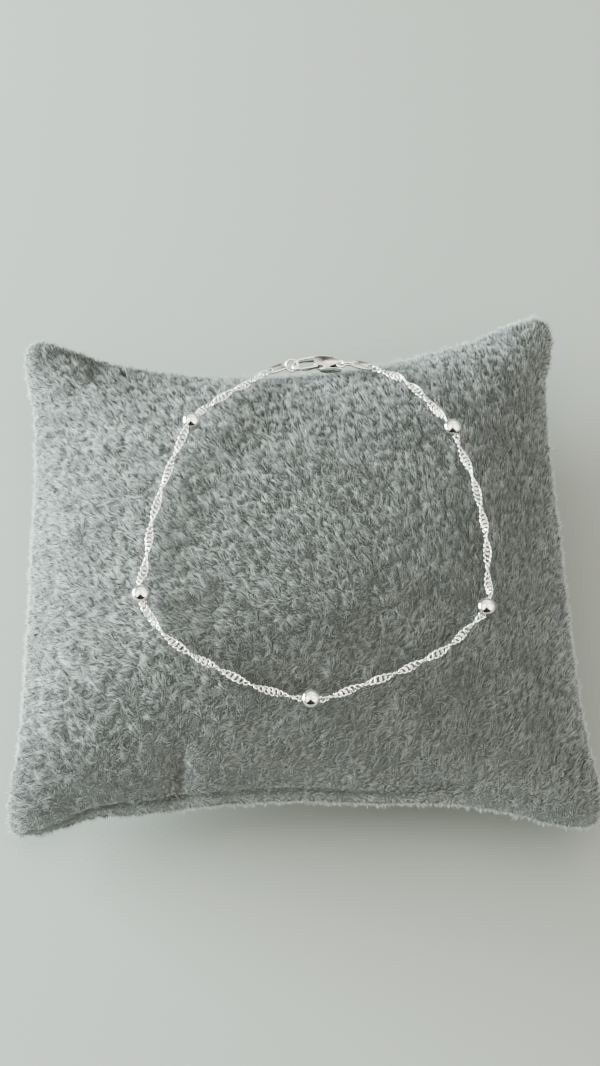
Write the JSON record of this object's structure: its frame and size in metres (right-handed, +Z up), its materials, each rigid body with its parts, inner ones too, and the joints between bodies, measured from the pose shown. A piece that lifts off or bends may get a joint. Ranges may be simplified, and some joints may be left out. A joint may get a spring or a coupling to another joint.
{
  "type": "beaded bracelet on a display cushion",
  "caption": "Fine twisted-chain bracelet with small round beads and a lobster clasp, fastened and laid in a loop on a square plush display cushion.",
  "frame": {"origin": "on the ground under the middle of the cushion's box", "axes": "+X to the right along the cushion's near side, +Y away from that side towards the clasp, +Z up"},
  "size_m": [0.0932, 0.0976, 0.0232],
  "materials": {
    "silver": "polished silver",
    "plush": "short light-grey plush"
  },
  "bodies": {
    "bracelet_on_cushion": {"display_cushion": "plush", "chain": "silver", "bead_1": "silver", "bead_2": "silver", "bead_3": "silver", "bead_4": "silver", "bead_5": "silver", "end_tag_left": "silver", "end_tag_right": "silver", "jump_ring": "silver", "connecting_ring": "silver", "clasp_body": "silver"},
    "clasp_lever": {"clasp_lever": "silver"}
  },
  "joints": [
    {"name": "lever_hinge", "type": "hinge", "parent": "bracelet_on_cushion", "child": "clasp_lever", "pos_m": [0.00658, 0.0387, 0.01456], "axis": [0.0881, -0.2168, -0.9722], "range_deg": [0, 22], "stiffness_Nm_per_rad": 0.004}
  ]
}
